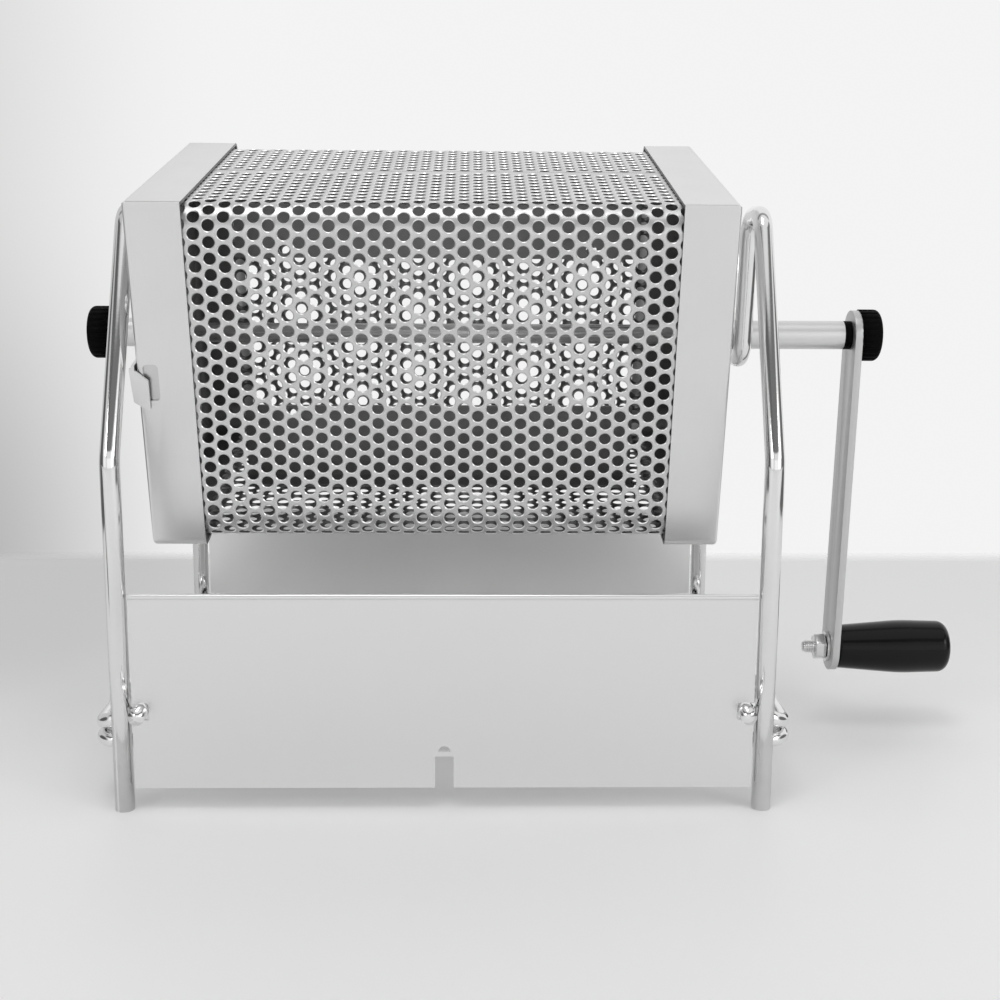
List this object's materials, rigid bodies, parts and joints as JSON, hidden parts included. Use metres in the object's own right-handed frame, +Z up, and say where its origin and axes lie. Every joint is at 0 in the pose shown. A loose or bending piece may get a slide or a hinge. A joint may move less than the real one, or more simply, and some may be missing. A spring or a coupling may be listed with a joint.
{
  "type": "stovetop coffee bean roaster",
  "caption": "Square perforated steel drum on a wire stand with front and rear screens, turned over a burner by a side crank.",
  "frame": {"origin": "centre of the base of the whole object's box, on the table", "axes": "+X along the axle towards the crank, +Y towards the rear, +Z up"},
  "size_m": [0.2506, 0.1224, 0.1731],
  "materials": {
    "perforated_steel": "bright punched stainless sheet",
    "sheet_steel": "fine satin stainless sheet",
    "vane_steel": "dull stainless sheet",
    "polished_wire": "polished stainless wire",
    "turned_steel": "turned stainless bar",
    "zinc_fastener": "bright zinc plate",
    "arm_steel": "satin flat bar",
    "black_knob": "black moulded plastic",
    "black_grip": "glossy black plastic"
  },
  "bodies": {
    "stand": {"frame_left": "polished_wire", "frame_right": "polished_wire", "rail_upper_left": "polished_wire", "rail_upper_right": "polished_wire", "rail_lower_left": "polished_wire", "rail_lower_right": "polished_wire", "screen_front": "sheet_steel", "screen_rear": "sheet_steel"},
    "drum": {"sheet_top": "perforated_steel", "sheet_front": "perforated_steel", "sheet_bottom": "perforated_steel", "sheet_rear": "perforated_steel", "sheet_bends": "perforated_steel", "end_cap_left": "sheet_steel", "end_cap_right": "sheet_steel", "vane_upper": "vane_steel", "vane_lower": "vane_steel", "axle": "turned_steel", "sleeve_left": "turned_steel", "sleeve_right": "turned_steel", "collar_left": "turned_steel", "collar_right": "turned_steel", "axle_nuts": "zinc_fastener", "grub_screws": "zinc_fastener", "cover_rivet": "zinc_fastener", "grip_nut": "zinc_fastener", "grip_washer": "zinc_fastener", "grip_bolt": "zinc_fastener", "crank_arm": "arm_steel", "knob_left": "black_knob", "knob_right": "black_knob", "spacer_ring": "black_knob"},
    "cover": {"end_cover": "sheet_steel"},
    "grip": {"crank_grip": "black_grip"}
  },
  "joints": [
    {"name": "drum_spin", "type": "hinge", "parent": "stand", "child": "drum", "pos_m": [-0.02515, 0, 0.1192], "axis": [1, 0, 0], "continuous": true},
    {"name": "cover_swing", "type": "hinge", "parent": "drum", "child": "cover", "pos_m": [-0.10335, -0.03805, 0.12926], "axis": [1, 0, 0], "range_deg": [-40, 0]},
    {"name": "grip_spin", "type": "hinge", "parent": "drum", "child": "grip", "pos_m": [-0.02515, 0.00709, 0.02497], "axis": [1, 0, 0], "continuous": true}
  ]
}
